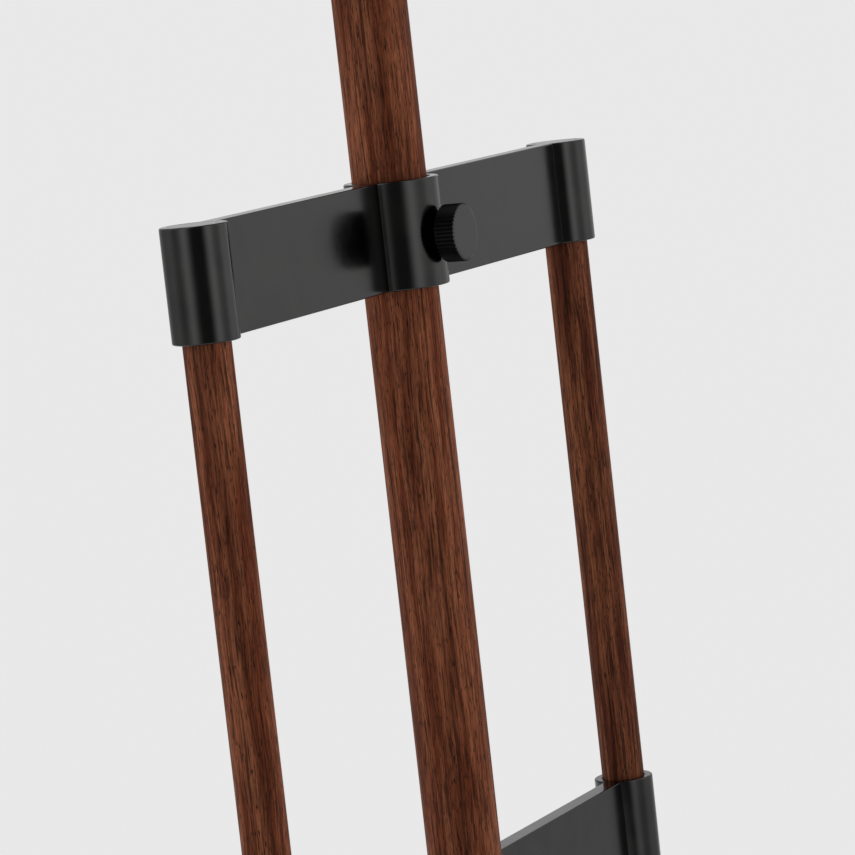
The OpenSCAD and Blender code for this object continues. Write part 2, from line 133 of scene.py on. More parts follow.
def settle(obj):
    """Makes the object's modifiers part of a plain mesh."""
    graph = bpy.context.evaluated_depsgraph_get()
    mesh = bpy.data.meshes.new_from_object(obj.evaluated_get(graph))
    obj.modifiers.clear()
    obj.data = mesh
    return obj


def shade(obj, sharp=HARD_EDGE):
    obj.data.shade_smooth()
    obj.data.set_sharp_from_angle(angle=math.radians(sharp))
    normals = obj.modifiers.new("flat faces stay flat", "WEIGHTED_NORMAL")
    normals.keep_sharp = True
    return settle(obj)


def finish_piece(obj, body, material, nodes=()):
    """Gives a piece its finish, hangs it on the body it rides on and hides the solids it stands for."""
    obj.data.materials.clear()
    obj.data.materials.append(material)
    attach(obj, body)
    if nodes:
        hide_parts(*nodes)
    print(obj.name, len(obj.data.polygons), "faces on", body)
    return obj


def from_bmesh(name, bm, place=None):
    """Merges a bmesh's points, turns its faces outwards and makes it an object, moved to its place."""
    bmesh.ops.remove_doubles(bm, verts=bm.verts, dist=1e-6)
    bmesh.ops.recalc_face_normals(bm, faces=bm.faces)
    if place is not None:
        bm.transform(place)
    mesh = bpy.data.meshes.new(name)
    bm.to_mesh(mesh)
    bm.free()
    return new_object(name, mesh)


# %% [markdown]
# ## Colours and helpers for nodes
# Finishes are chosen as the hex colours that a paint chart gives, and shaders work with linear
# light, so one function converts them. One more function adds a node, sets it and links it, and
# the others are short ways to what most finishes have: a noise, a ramp, some change of roughness
# and a fine relief.


# %% Colour and node helpers
def linear(code):
    """The linear colour of an sRGB hex code."""
    parts = [int(code[i:i + 2], 16) / 255 for i in (1, 3, 5)]
    return tuple(c / 12.92 if c <= 0.04045 else ((c + 0.055) / 1.055) ** 2.4 for c in parts) + (1.0,)


def grey(tone):
    return (tone, tone, tone, 1)


def add(tree, kind, settings=None, **inputs):
    """Adds a node. Inputs are values or sockets; in a name, __ stands for a space."""
    node = tree.nodes.new(kind)
    for key, value in (settings or {}).items():
        setattr(node, key, value)
    for key, value in inputs.items():
        if key.startswith("i") and key[1:].isdigit():
            socket = node.inputs[int(key[1:])]
        else:
            socket = node.inputs[key.replace("__", " ")]
        if isinstance(value, bpy.types.NodeSocket):
            tree.links.new(value, socket)
        else:
            socket.default_value = value
    return node


def ramp(tree, factor, stops):
    """A colour ramp from (position, hex code or grey tone) stops."""
    node = add(tree, "ShaderNodeValToRGB", Fac=factor)
    while len(node.color_ramp.elements) < len(stops):
        node.color_ramp.elements.new(0.5)
    for element, (position, colour) in zip(node.color_ramp.elements, stops):
        element.position = position
        element.color = linear(colour) if isinstance(colour, str) else grey(colour)
    return node.outputs["Color"]


def calculator(tree):
    """A function that adds a Math node of two values to the tree."""
    def calc(operation, a, b):
        return add(tree, "ShaderNodeMath", {"operation": operation}, i0=a, i1=b).outputs[0]
    return calc


def new_material(name):
    """A material, its tree and its shader."""
    material = bpy.data.materials.new(name)
    material.use_nodes = True
    tree = material.node_tree
    return material, tree, tree.nodes["Principled BSDF"]


def noise(tree, where, size, detail):
    """Even noise whose features are about size wide."""
    return add(tree, "ShaderNodeTexNoise", Vector=where, Scale=1 / size, Detail=detail).outputs["Fac"]


def vary_roughness(tree, shader, factor, start, end):
    """Roughness runs from start to end while a noise runs over its usual range."""
    usual_low, usual_high = 0.3, 0.7
    amount = add(tree, "ShaderNodeMapRange", Value=factor, i1=usual_low, i2=usual_high, i3=start, i4=end)
    tree.links.new(amount.outputs[0], shader.inputs["Roughness"])


def emboss(tree, shader, height, depth, strength, sunk=False):
    """Relief too fine for the mesh, raised or sunk where height is large."""
    bump = add(tree, "ShaderNodeBump", {"invert": sunk}, Strength=strength, Distance=depth, Height=height)
    tree.links.new(bump.outputs[0], shader.inputs["Normal"])


# %% [markdown]
# ## Oiled dark hardwood
# The posts are round bars of a dark reddish hardwood, sanded and oiled. The eye sees dark streaks
# along the grain, about 1 mm wide and 30 mm long, and a few veins twice as wide and much longer.
# There are broader zones of lighter and darker heartwood, fine threads, and open pores as short
# dark dashes. Grain can be made from rings round the tree's core or from stretched noise. The
# streaks of such a dowel are broken and wander, so stretched noise fits: the pattern is squeezed
# across the grain and drawn out along it. A Mapping node turns each piece's coordinates so that
# its grain follows its own length.


# %% The wood finish
def oiled_hardwood(name, turn, shift, light="#844D33", mid="#602D17", dark="#290E04"):
    material, tree, shader = new_material(name)
    where = add(tree, "ShaderNodeTexCoord").outputs["Object"]
    grain = add(tree, "ShaderNodeMapping", Vector=where, Rotation=turn, Location=shift).outputs[0]
    # The fibres wander sideways by up to 2 mm each way, over some 70 mm of length
    slow = add(tree, "ShaderNodeMapping", Vector=grain, Scale=(40, 40, 14)).outputs[0]
    drift = add(tree, "ShaderNodeTexNoise", Vector=slow, Scale=1.0, Detail=1.0).outputs["Color"]
    fibres = add(tree, "ShaderNodeVectorMath", {"operation": "MULTIPLY_ADD"}, i0=drift,
                 i1=(4 * MM, 4 * MM, 0), i2=grain).outputs[0]

    def stretched(across, along, detail, rough):
        """Noise with features about `across` mm wide and `along` mm long."""
        size = (1 / (across * MM), 1 / (across * MM), 1 / (along * MM))
        scaled = add(tree, "ShaderNodeMapping", Vector=fibres, Scale=size).outputs[0]
        return add(tree, "ShaderNodeTexNoise", Vector=scaled, Scale=1.0, Detail=detail,
                   Roughness=rough).outputs["Fac"]

    def blend(amount, lower, upper, kind="MIX"):
        return add(tree, "ShaderNodeMix", {"data_type": "RGBA", "blend_type": kind}, i0=amount,
                   i6=lower, i7=upper).outputs[2]

    zones = stretched(7, 130, 2, 0.5)           # broad heartwood zones
    veins = stretched(2.4, 110, 2, 0.55)        # a few long dark veins
    streaks = stretched(1.15, 30, 3, 0.65)      # dark streaks
    threads = stretched(0.7, 12, 3, 0.7)        # fine threads between them
    pores = stretched(0.5, 4.5, 0, 0.5)         # open pores
    body = blend(ramp(tree, zones, [(0.38, 0.0), (0.62, 1.0)]), linear(mid), linear(light))
    body = blend(1.0, body, ramp(tree, threads, [(0.36, 0.55), (0.64, 1.25)]), "MULTIPLY")
    streak = ramp(tree, streaks, [(0.34, 0.85), (0.52, 0.0)])
    body = blend(streak, body, linear(dark))
    vein = ramp(tree, veins, [(0.31, 0.75), (0.43, 0.0)])
    body = blend(vein, body, linear(dark))
    pore = ramp(tree, pores, [(0.24, 0.9), (0.34, 0.0)])
    body = blend(pore, body, linear("#160803"))
    tree.links.new(body, shader.inputs["Base Color"])
    vary_roughness(tree, shader, threads, 0.62, 0.48)
    shader.inputs["IOR"].default_value = 1.5
    shader.inputs["Specular IOR Level"].default_value = 0.08    # oil soaks in and leaves little shine
    openings = calculator(tree)("ADD", streak, pore)
    emboss(tree, shader, openings, 0.08 * MM, 0.4, sunk=True)
    return material


along_posts = (lean, 0, 0)
along_x = (lean, math.radians(90), 0)
wood_left = oiled_hardwood("oiled hardwood, left post", along_posts, (0.31, 0.11, 0.07))
# The right post is given darker wood colours than the other pieces
wood_right = oiled_hardwood("oiled hardwood, right post", along_posts, (0.83, 0.42, 0.53),
                            "#77452C", "#4F2413", "#200A03")
wood_mast = oiled_hardwood("oiled hardwood, mast", along_posts, (0.57, 0.23, 0.19))
wood_leg = oiled_hardwood("oiled hardwood, rear leg", (-slope, 0, 0), (0.12, 0.66, 0.37))
wood_board = oiled_hardwood("oiled hardwood, boards", along_x, (0.44, 0.35, 0.61))
print("wood finishes ready")

# %% [markdown]
# ## Dark anodised aluminium
# The brackets, collars, plates and ferrules are aluminium, glass-bead blasted and then anodised
# nearly black. Blasting leaves a soft satin surface: reflections are still there, but blurred,
# with a very fine sparkle of about 0.2 mm, and tone and roughness drift a little in broad clouds.
# Metallic is 1 and the dark colour stands for the dyed layer.


# %% The anodised finish
def anodised(name, dark, light, rough):
    material, tree, shader = new_material(name)
    where = add(tree, "ShaderNodeTexCoord").outputs["Object"]
    sparkle = noise(tree, where, 0.2 * MM, 1.0)
    clouds = noise(tree, where, 14 * MM, 3.0)
    tree.links.new(ramp(tree, clouds, [(0.35, dark), (0.70, light)]), shader.inputs["Base Color"])
    shader.inputs["Metallic"].default_value = 1.0
    vary_roughness(tree, shader, clouds, rough - 0.03, rough + 0.03)
    emboss(tree, shader, sparkle, 0.02 * MM, 0.06)
    return material


dark_metal = anodised("bead-blasted dark anodised aluminium", "#383838", "#3C3C3B", 0.17)
black_metal = anodised("satin face of the thumbscrews", "#383838", "#3B3B3A", 0.20)
# The knurled grip is given a darker colour and a rougher surface than the face
grip_metal = anodised("darker rougher finish of the knurled grip", "#161616", "#1D1D1D", 0.42)

# %% [markdown]
# ## Steel, rubber and nylon
# Screws, studs and the hinge pin are zinc-plated steel: bright, with a fine grain. The feet and
# the mast's foot are natural rubber, moulded, dull, with a faint bloom. The tips of the
# thumbscrews are nylon, off-white and slightly waxy.


# %% Three more finishes
def plated_steel():
    material, tree, shader = new_material("zinc-plated steel")
    where = add(tree, "ShaderNodeTexCoord").outputs["Object"]
    grain = noise(tree, where, 0.3 * MM, 2.0)
    tree.links.new(ramp(tree, grain, [(0.3, "#A9ACAE"), (0.7, "#C4C6C7")]), shader.inputs["Base Color"])
    shader.inputs["Metallic"].default_value = 1.0
    vary_roughness(tree, shader, grain, 0.24, 0.36)
    return material


def moulded(name, dark, light, rough, grain_size, ior):
    material, tree, shader = new_material(name)
    where = add(tree, "ShaderNodeTexCoord").outputs["Object"]
    bloom = noise(tree, where, 6 * MM, 4.0)
    grain = noise(tree, where, grain_size, 1.0)
    tree.links.new(ramp(tree, bloom, [(0.35, dark), (0.7, light)]), shader.inputs["Base Color"])
    vary_roughness(tree, shader, bloom, rough - 0.06, rough + 0.06)
    shader.inputs["IOR"].default_value = ior
    emboss(tree, shader, grain, 0.05 * MM, 0.2)
    return material


steel = plated_steel()
rubber = moulded("moulded rubber", "#161616", "#222221", 0.78, 0.5 * MM, 1.52)
nylon = moulded("natural nylon", "#D9D5C6", "#E2DFD3", 0.45, 0.4 * MM, 1.53)
print("metal, rubber and nylon finishes ready")

# %% [markdown]
# ## Round bars
# The side posts, the mast and the rear leg follow one rule: a round bar of some radius and length,
# with its ends slightly eased. A small geometry node tree makes such a bar, and each bar is one
# use of it. The tree's inputs carry the sizes, which are read from the solids.


# %% Geometry node helpers
def new_tree(name, inputs):
    """A geometry node tree with named float, integer and material inputs."""
    tree = bpy.data.node_groups.new(name, "GeometryNodeTree")
    tree.interface.new_socket("Geometry", in_out="INPUT", socket_type="NodeSocketGeometry")
    kinds = {"f": "NodeSocketFloat", "i": "NodeSocketInt", "m": "NodeSocketMaterial"}
    for label, kind in inputs.items():
        tree.interface.new_socket(label, in_out="INPUT", socket_type=kinds[kind])
    tree.interface.new_socket("Geometry", in_out="OUTPUT", socket_type="NodeSocketGeometry")
    start = tree.nodes.new("NodeGroupInput").outputs
    return tree, start


def lifted(tree, geometry, height):
    """Moves a geometry up by a height."""
    lift = add(tree, "ShaderNodeCombineXYZ", Z=height).outputs[0]
    return add(tree, "GeometryNodeTransform", Geometry=geometry, Translation=lift).outputs[0]


def joined(tree, *parts):
    join = add(tree, "GeometryNodeJoinGeometry")
    for part in parts:
        tree.links.new(part, join.inputs[0])
    return join.outputs[0]


def on_each_point(tree, geometry, start):
    return add(tree, "GeometryNodeInstanceOnPoints", Points=start["Geometry"], Instance=geometry).outputs[0]


def end_tree(tree, geometry, start):
    """Makes copies real, gives them the material and ends the tree."""
    real = add(tree, "GeometryNodeRealizeInstances", Geometry=geometry).outputs[0]
    done = add(tree, "GeometryNodeSetMaterial", Geometry=real, Material=start["Material"]).outputs[0]
    tree.links.new(done, tree.nodes.new("NodeGroupOutput").inputs["Geometry"])


def grow(name, tree, values, place, points=((0, 0, 0),)):
    """Runs a tree on an object whose vertices are points, and keeps the result as a mesh."""
    mesh = bpy.data.meshes.new(name)
    mesh.from_pydata([tuple(p) for p in points], [], [])
    obj = new_object(name, mesh)
    modifier = obj.modifiers.new("shape", "NODES")
    modifier.node_group = tree
    for item in tree.interface.items_tree:
        if item.in_out == "INPUT" and item.name in values:
            modifier[item.identifier] = values[item.name]
    settle(obj)
    obj.data.transform(place)
    return obj


# %% The tree of a round bar, and the four bars
def round_bar_tree():
    tree, start = new_tree("round bar", {"Radius": "f", "Low": "f", "High": "f", "Material": "m"})
    calc = calculator(tree)
    length = calc("SUBTRACT", start["High"], start["Low"])
    bar = add(tree, "GeometryNodeMeshCylinder", {"fill_type": "NGON"}, Vertices=128,
              Radius=start["Radius"], Depth=length).outputs["Mesh"]
    half_way = calc("MULTIPLY", calc("ADD", start["High"], start["Low"]), 0.5)
    end_tree(tree, on_each_point(tree, lifted(tree, bar, half_way), start), start)
    return tree


bar_tree = round_bar_tree()
EASE = 1.0 * MM     # rounding of a bar's ends


def ease_edges(obj, width):
    bevel = obj.modifiers.new("eased edges", "BEVEL")
    bevel.width = width
    bevel.segments = 3
    bevel.limit_method = "ANGLE"
    bevel.angle_limit = math.radians(HARD_EDGE)
    return settle(obj)


def round_bar(name, node, body, material, place=LEAN):
    x, y, radius, low, high = round_size(node, place)
    values = {"Radius": radius, "Low": low, "High": high, "Material": material}
    obj = grow(name, bar_tree, values, place @ Matrix.Translation((x, y, 0)))
    ease_edges(obj, EASE)
    return finish_piece(shade(obj), body, material, [node])


round_bar("left_post", "side_post_left", "frame", wood_left)
round_bar("right_post", "side_post_right", "frame", wood_right)
round_bar("mast_bar", "mast", "mast", wood_mast)
round_bar("rear_leg_bar", "rear_leg", "leg", wood_leg, LEG)

# %% [markdown]
# ## The two brackets
# Each bracket is one length of an extruded profile: three rings on a flat bar, cut to length and
# its edges broken by about a millimetre. It could be bevelled by a modifier, but where a ring
# meets the bar such bevels cross. An outline that can be drawn smaller by any amount avoids this:
# every arc and line moves inwards together, so a rounded edge is a stack of such outlines.


# %% Outlines that can be drawn smaller
def arc(cx, cy, radius, start, end, steps):
    """Points on an arc from angle start to end, in radians."""
    return [(cx + radius * math.cos(start + (end - start) * i / steps),
             cy + radius * math.sin(start + (end - start) * i / steps)) for i in range(steps + 1)]


def bracket_outline(rings, half_bar, fillet, inset):
    """Rings (x, y, radius) on a bar along X, drawn smaller by inset, anticlockwise from the left."""
    half = half_bar - inset
    hollow = fillet + inset

    def join(ring, side, face):
        """Angle on the ring, and fillet centre, where it meets the bar's face on that side."""
        x, y, radius = ring
        rise = face * (half + hollow) - y
        run = math.sqrt((radius - inset + hollow) ** 2 - rise ** 2) * side
        return math.atan2(rise, run), (x + run, face * (half + hollow))

    def fillet_arc(ring, side, face, towards_ring):
        angle, (x, y) = join(ring, side, face)
        on_ring, on_bar = angle + math.pi, -face * math.pi / 2
        sweep = (on_ring - on_bar + math.pi) % (2 * math.pi) - math.pi
        points = arc(x, y, hollow, on_bar, on_bar + sweep, 5)
        return points if towards_ring else points[::-1]

    def ring_arc(ring, start, end, steps):
        x, y, radius = ring
        start, end = join(ring, *start)[0], join(ring, *end)[0]
        while end < start:
            end += 2 * math.pi
        return arc(x, y, radius - inset, start, end, steps)

    # Each visit is a ring, the side and face where the outline comes on, where it leaves, and steps
    left, mast_ring, right = rings
    visits = [(left, (1, 1), (1, -1), 72), (mast_ring, (-1, -1), (1, -1), 48),
              (right, (-1, -1), (-1, 1), 72), (mast_ring, (1, 1), (-1, 1), 48)]
    path = []
    for (ring, start, end, steps), (next_ring, next_start, _, _) in zip(visits, visits[1:] + visits[:1]):
        path += ring_arc(ring, start, end, steps)
        path += fillet_arc(ring, *end, False)
        path += fillet_arc(next_ring, *next_start, True)
    # Where two arcs meet, both give the same point, and only one is kept
    return [p for i, p in enumerate(path) if math.dist(p, path[i - 1]) > 1e-7]


def stacked(outlines, low, high, edge):
    """A solid from low to high whose outlines are functions of an inset, with rounded edges.
    The first outline is the outside, and the others are holes, which widen with the inset."""
    bm = bmesh.new()
    turns = [math.radians(a) for a in (0, 30, 60, 90)]
    levels = [(edge * (1 - math.sin(a)), low + edge * (1 - math.cos(a))) for a in turns]
    levels += [(edge * (1 - math.sin(a)), high - edge * (1 - math.cos(a))) for a in reversed(turns)]
    rims = []
    for outline in outlines:
        loops = [[bm.verts.new((x, y, z)) for x, y in outline(inset)] for inset, z in levels]
        for lower, upper in zip(loops, loops[1:]):
            for i in range(len(lower)):
                j = (i + 1) % len(lower)
                bm.faces.new((lower[i], lower[j], upper[j], upper[i]))
        rims.append((loops[0], loops[-1]))
    for end in (0, 1):
        edges = []
        for rim in rims:
            loop = rim[end]
            edges += [bm.edges.get((loop[i], loop[(i + 1) % len(loop)])) for i in range(len(loop))]
        bmesh.ops.triangle_fill(bm, edges=edges, use_beauty=True)
    return bm


# %% Sizes of the brackets and the rings
bracket_low, bracket_high = local_box("upper_bracket")
sleeve_r = bracket_high.x - post_x                              # outside of the rings on the posts
mast_sleeve_r = (bracket_high.y - bracket_low.y) / 2            # outside of the rings on the mast
mast_ring_y = (bracket_high.y + bracket_low.y) / 2              # they sit forward of the mast's axis
plug_r = round_size("sleeve_plug_left")[2]
PLUG_GAP = 0.05 * MM         # gap round a plug
MAST_RING_WALL = 4.3 * MM
BAR_T = 11 * MM              # thickness of the flat bar
EDGE = 0.9 * MM              # rounding of the cut ends
FILLET = 0.12 * MM           # inside corners of the extruded profile
GRUB_HOLE_R = 2.55 * MM
LOCK_HOLE_R = 3.05 * MM
THROUGH = 5 * MM             # a drill comes out this far
post_bore_r = plug_r + PLUG_GAP
mast_bore_r = mast_sleeve_r - MAST_RING_WALL
print("rings", round(sleeve_r / MM, 2), round(mast_sleeve_r / MM, 2), "mm in radius")


# %% Bore a bracket and cut its screw holes
def cut(obj, cutters):
    """Takes cutters, each a bmesh, out of the object."""
    for bm in cutters:
        tool = from_bmesh("cutter", bm)
        boolean = obj.modifiers.new("hole", "BOOLEAN")
        boolean.object = tool
        boolean.operation = "DIFFERENCE"
        boolean.solver = "EXACT"
        settle(obj)
        bpy.data.objects.remove(tool)


def drill(radius, start, end):
    """A cylinder between two points of the leaning frame."""
    start, end = Vector(start), Vector(end)
    bm = bmesh.new()
    bmesh.ops.create_cone(bm, cap_ends=True, segments=40, radius1=radius, radius2=radius,
                          depth=(end - start).length)
    turn = (end - start).to_track_quat("Z", "Y").to_matrix().to_4x4()
    bm.transform(LEAN @ Matrix.Translation((start + end) / 2) @ turn)
    return bm


def bore_outline(x, y, radius, inset):
    """A bore's rim is rounded half as much as the outside."""
    return arc(x, y, radius + inset / 2, 0, 2 * math.pi, 96)[:-1]


def bracket(name, node, holes):
    low, high = local_box(node)
    rings = [(-post_x, 0, sleeve_r), (0, mast_ring_y, mast_sleeve_r), (post_x, 0, sleeve_r)]
    bores = [(-post_x, 0, post_bore_r), (0, mast_ring_y, mast_bore_r), (post_x, 0, post_bore_r)]
    outlines = [lambda inset: bracket_outline(rings, BAR_T / 2, FILLET, inset)]
    for bore in bores:
        outlines.append(lambda inset, bore=bore: bore_outline(*bore, inset))
    obj = from_bmesh(name, stacked(outlines, low.z, high.z, EDGE), LEAN)
    cut(obj, holes)
    return finish_piece(shade(obj, sharp=40), "frame", dark_metal, [node])


def half_height(node):
    low, high = local_box(node)
    return (low.z + high.z) / 2


for side in ("upper", "lower"):
    node = side + "_bracket"
    z = half_height(node)
    holes = [drill(GRUB_HOLE_R, (x, 0, z), (x, sleeve_r + EDGE, z)) for x in (-post_x, post_x)]
    if side == "upper":
        z = half_height("lock_knob")
        holes.append(drill(LOCK_HOLE_R, (0, 0, z), (0, -mast_sleeve_r - THROUGH, z)))
    bracket(side + "_sleeve_bracket", node, holes)

# %% [markdown]
# ## Other metal and rubber pieces: break their edges
# Collars, plates, ferrules, caps, the hinge and the rubber feet already have the right shape as
# solids, but every edge is perfectly sharp, and real edges catch the light. A copy of each solid
# is merged, since it comes as loose triangles, its flat faces are made whole, and the long edges
# are rounded. Small screw holes keep their edges.


# %% Round the edges of a copy of a solid
SMALL_HOLE = 9 * MM      # edges round anything up to this size stay sharp
FLAT = 0.6               # faces that meet at less than this many degrees are one flat face


def connected_groups(edges):
    """Splits a set of edges into groups that hang together."""
    groups = []
    while edges:
        group, todo = [], [edges.pop()]
        while todo:
            edge = todo.pop()
            group.append(edge)
            for vert in edge.verts:
                for other in vert.link_edges:
                    if other in edges:
                        edges.remove(other)
                        todo.append(other)
        groups.append(group)
    return groups


def span(edges):
    """The longest side of the box round some edges."""
    points = [vert.co for edge in edges for vert in edge.verts]
    return max(max(p[i] for p in points) - min(p[i] for p in points) for i in range(3))


def eased(name, node, body, material, width):
    bm = bmesh.new()
    bm.from_mesh(frame["nodes"][node].data)
    bmesh.ops.remove_doubles(bm, verts=bm.verts, dist=2e-6)
    bmesh.ops.dissolve_limit(bm, angle_limit=math.radians(FLAT), verts=bm.verts, edges=bm.edges)
    hard = {edge for edge in bm.edges
            if len(edge.link_faces) == 2 and edge.calc_face_angle(0) > math.radians(HARD_EDGE)}
    chosen = []
    for group in connected_groups(hard):
        if span(group) > SMALL_HOLE:
            chosen += group
    bmesh.ops.bevel(bm, geom=chosen, offset=width, offset_type="OFFSET", segments=3, profile=0.5,
                    affect="EDGES", clamp_overlap=True)
    mesh = bpy.data.meshes.new(name)
    bm.to_mesh(mesh)
    bm.free()
    return finish_piece(shade(new_object(name, mesh), sharp=40), body, material, [node])


metal = ("dark_metal", dark_metal)
for name, node, body, (slot, material), width in (
    ("left_plug", "sleeve_plug_left", "frame", metal, 0.35),
    ("right_plug", "sleeve_plug_right", "frame", metal, 0.35),
    ("left_ferrule", "foot_ferrule_left", "frame", metal, 0.6),
    ("right_ferrule", "foot_ferrule_right", "frame", metal, 0.6),
    ("left_foot", "foot_pad_left", "frame", ("rubber", rubber), 1.2),
    ("right_foot", "foot_pad_right", "frame", ("rubber", rubber), 1.2),
    ("hinge_plate", "hinge_bracket", "frame", metal, 0.7),
    ("hinge_axle", "hinge_pin", "frame", ("steel", steel), 0.4),
    ("mast_crown", "mast_top_cap", "mast", metal, 1.6),
    ("mast_foot", "mast_foot_cap", "mast", ("rubber", rubber), 1.6),
    ("ledge_ring", "ledge_collar", "ledge", metal, 0.8),
    ("ledge_angle", "ledge_plate", "ledge", metal, 0.7),
    ("holder_ring", "holder_collar", "holder", metal, 0.8),
    ("holder_angle", "holder_plate", "holder", metal, 0.7),
    ("leg_fork", "leg_socket", "leg", metal, 0.7),
    ("rear_ferrule_ring", "rear_ferrule", "leg", metal, 0.6),
    ("rear_foot", "rear_foot_pad", "leg", ("rubber", rubber), 1.2),
):
    eased(name, node, body, material, width * MM)

# %% [markdown]
# ## Boards and lips
# The canvas ledge and the top holder are planed boards with softly rounded edges. A box is made
# to the solid's size in the leaning frame and its edges are rounded.


# %% Rounded boards
def planed_board(name, node, body, material, width):
    low, high = local_box(node)
    bm = bmesh.new()
    bmesh.ops.create_cube(bm, size=1.0)
    bm.transform(LEAN @ Matrix.Translation((low + high) / 2) @ Matrix.Diagonal((*(high - low), 1)))
    bmesh.ops.bevel(bm, geom=bm.edges[:], offset=width, segments=4, profile=0.5, affect="EDGES")
    return finish_piece(shade(from_bmesh(name, bm)), body, material, [node])


planed_board("ledge_shelf", "ledge_board", "ledge", wood_board, 1.5 * MM)
planed_board("ledge_front_lip", "ledge_lip", "ledge", wood_board, 2.5 * MM)
planed_board("holder_block", "holder_board", "holder", wood_board, 1.5 * MM)
planed_board("holder_front_lip", "holder_lip", "holder", wood_board, 2.5 * MM)

# %% [markdown]
# ## Knurled thumbscrews
# A thumbscrew has a head that fingers can grip: straight knurling, which is a row of V-shaped
# ridges cut along the rim. Such ridges repeat by rule, so geometry nodes make them. A circle is
# pushed in and out as many times as there are ridges, filled, and drawn out to the head's length,
# with a narrow chamfer at both ends. The rim of the face drops a little, which draws a light line
# round it. A plain neck is added behind the head.


# %% The tree of a knurled head
RIDGES = 42
RIDGE_DEPTH = 0.95 * MM
CHAMFER = 0.3 * MM
RIM = 1.4 * MM           # width of the rim round the face
RIM_DROP = 0.22 * MM
NECK_BITE = 0.5 * MM


def knurled_head_tree():
    tree, start = new_tree("knurled head", {
        "Radius": "f", "Low": "f", "High": "f", "Ridges": "i", "Ridge depth": "f", "Chamfer": "f",
        "Rim": "f", "Rim drop": "f", "Neck radius": "f", "Neck low": "f", "Material": "m"})
    calc = calculator(tree)

    def drawn_out(mesh, top, distance):
        """Draws the top of a mesh out and returns the new mesh and its top."""
        node = add(tree, "GeometryNodeExtrudeMesh", Mesh=mesh, Selection=top, Offset=(0.0, 0.0, 1.0),
                   Offset__Scale=distance, Individual=False)
        return node.outputs["Mesh"], node.outputs["Top"]

    def resized(mesh, top, share):
        return add(tree, "GeometryNodeScaleElements", Geometry=mesh, Selection=top, Scale=share).outputs[0]

    around = calc("MULTIPLY", start["Ridges"], 8.0)
    circle = add(tree, "GeometryNodeCurvePrimitiveCircle", Resolution=around, Radius=1.0).outputs["Curve"]
    place = add(tree, "GeometryNodeInputPosition").outputs[0]
    parts = add(tree, "ShaderNodeSeparateXYZ", Vector=place).outputs
    angle = calc("ARCTAN2", parts["Y"], parts["X"])
    # A triangle wave: 0 at a ridge's tip and 1 at the bottom of a groove
    turns = calc("MULTIPLY", calc("DIVIDE", angle, 2 * math.pi), start["Ridges"])
    wave = calc("MULTIPLY", calc("PINGPONG", calc("ADD", turns, 1000.0), 0.5), 2.0)
    radius = calc("SUBTRACT", start["Radius"], calc("MULTIPLY", wave, start["Ridge depth"]))
    moved = add(tree, "ShaderNodeVectorMath", {"operation": "SCALE"}, i0=place, Scale=radius).outputs[0]
    outline = add(tree, "GeometryNodeSetPosition", Geometry=circle, Position=moved).outputs[0]
    face = add(tree, "GeometryNodeFillCurve", {"mode": "NGONS"}, Curve=outline).outputs[0]
    # The chamfered ends, the ridged length between them and the rim that drops
    shrink = calc("DIVIDE", calc("SUBTRACT", start["Radius"], start["Chamfer"]), start["Radius"])
    small = add(tree, "ShaderNodeCombineXYZ", X=shrink, Y=shrink, Z=1.0).outputs[0]
    base = add(tree, "GeometryNodeTransform", Geometry=face, Scale=small).outputs[0]
    bottom = add(tree, "GeometryNodeFlipFaces", Mesh=base).outputs[0]
    ends = calc("ADD", calc("MULTIPLY", start["Chamfer"], 2.0), start["Rim drop"])
    length = calc("SUBTRACT", calc("SUBTRACT", start["High"], start["Low"]), ends)
    mesh, top = drawn_out(base, True, start["Chamfer"])
    mesh = resized(mesh, top, calc("DIVIDE", 1.0, shrink))
    mesh, top = drawn_out(mesh, top, length)
    mesh, top = drawn_out(mesh, top, start["Chamfer"])
    mesh = resized(mesh, top, shrink)
    mesh, top = drawn_out(mesh, top, start["Rim drop"])
    mesh = resized(mesh, top, calc("SUBTRACT", 1.0, calc("DIVIDE", start["Rim"], start["Radius"])))
    head = lifted(tree, joined(tree, mesh, bottom), start["Low"])
    head = add(tree, "GeometryNodeMergeByDistance", Geometry=head, Distance=1e-6).outputs[0]
    # The neck reaches a little way into the head
    reach = calc("ADD", start["Low"], NECK_BITE)
    depth = calc("SUBTRACT", reach, start["Neck low"])
    neck = add(tree, "GeometryNodeMeshCylinder", {"fill_type": "NGON"}, Vertices=96,
               Radius=start["Neck radius"], Depth=depth).outputs["Mesh"]
    neck = lifted(tree, neck, calc("ADD", start["Neck low"], calc("MULTIPLY", depth, 0.5)))
    end_tree(tree, joined(tree, head, neck), start)
    return tree


head_tree = knurled_head_tree()


# %% The three thumbscrews
def screw_place(node, front):
    """+Z points out along a thumbscrew from the mast's axis."""
    turn = Matrix.Rotation(0 if front else math.pi, 4, "Z") @ Matrix.Rotation(math.pi / 2, 4, "X")
    return LEAN @ Matrix.Translation((0, 0, half_height(node))) @ turn


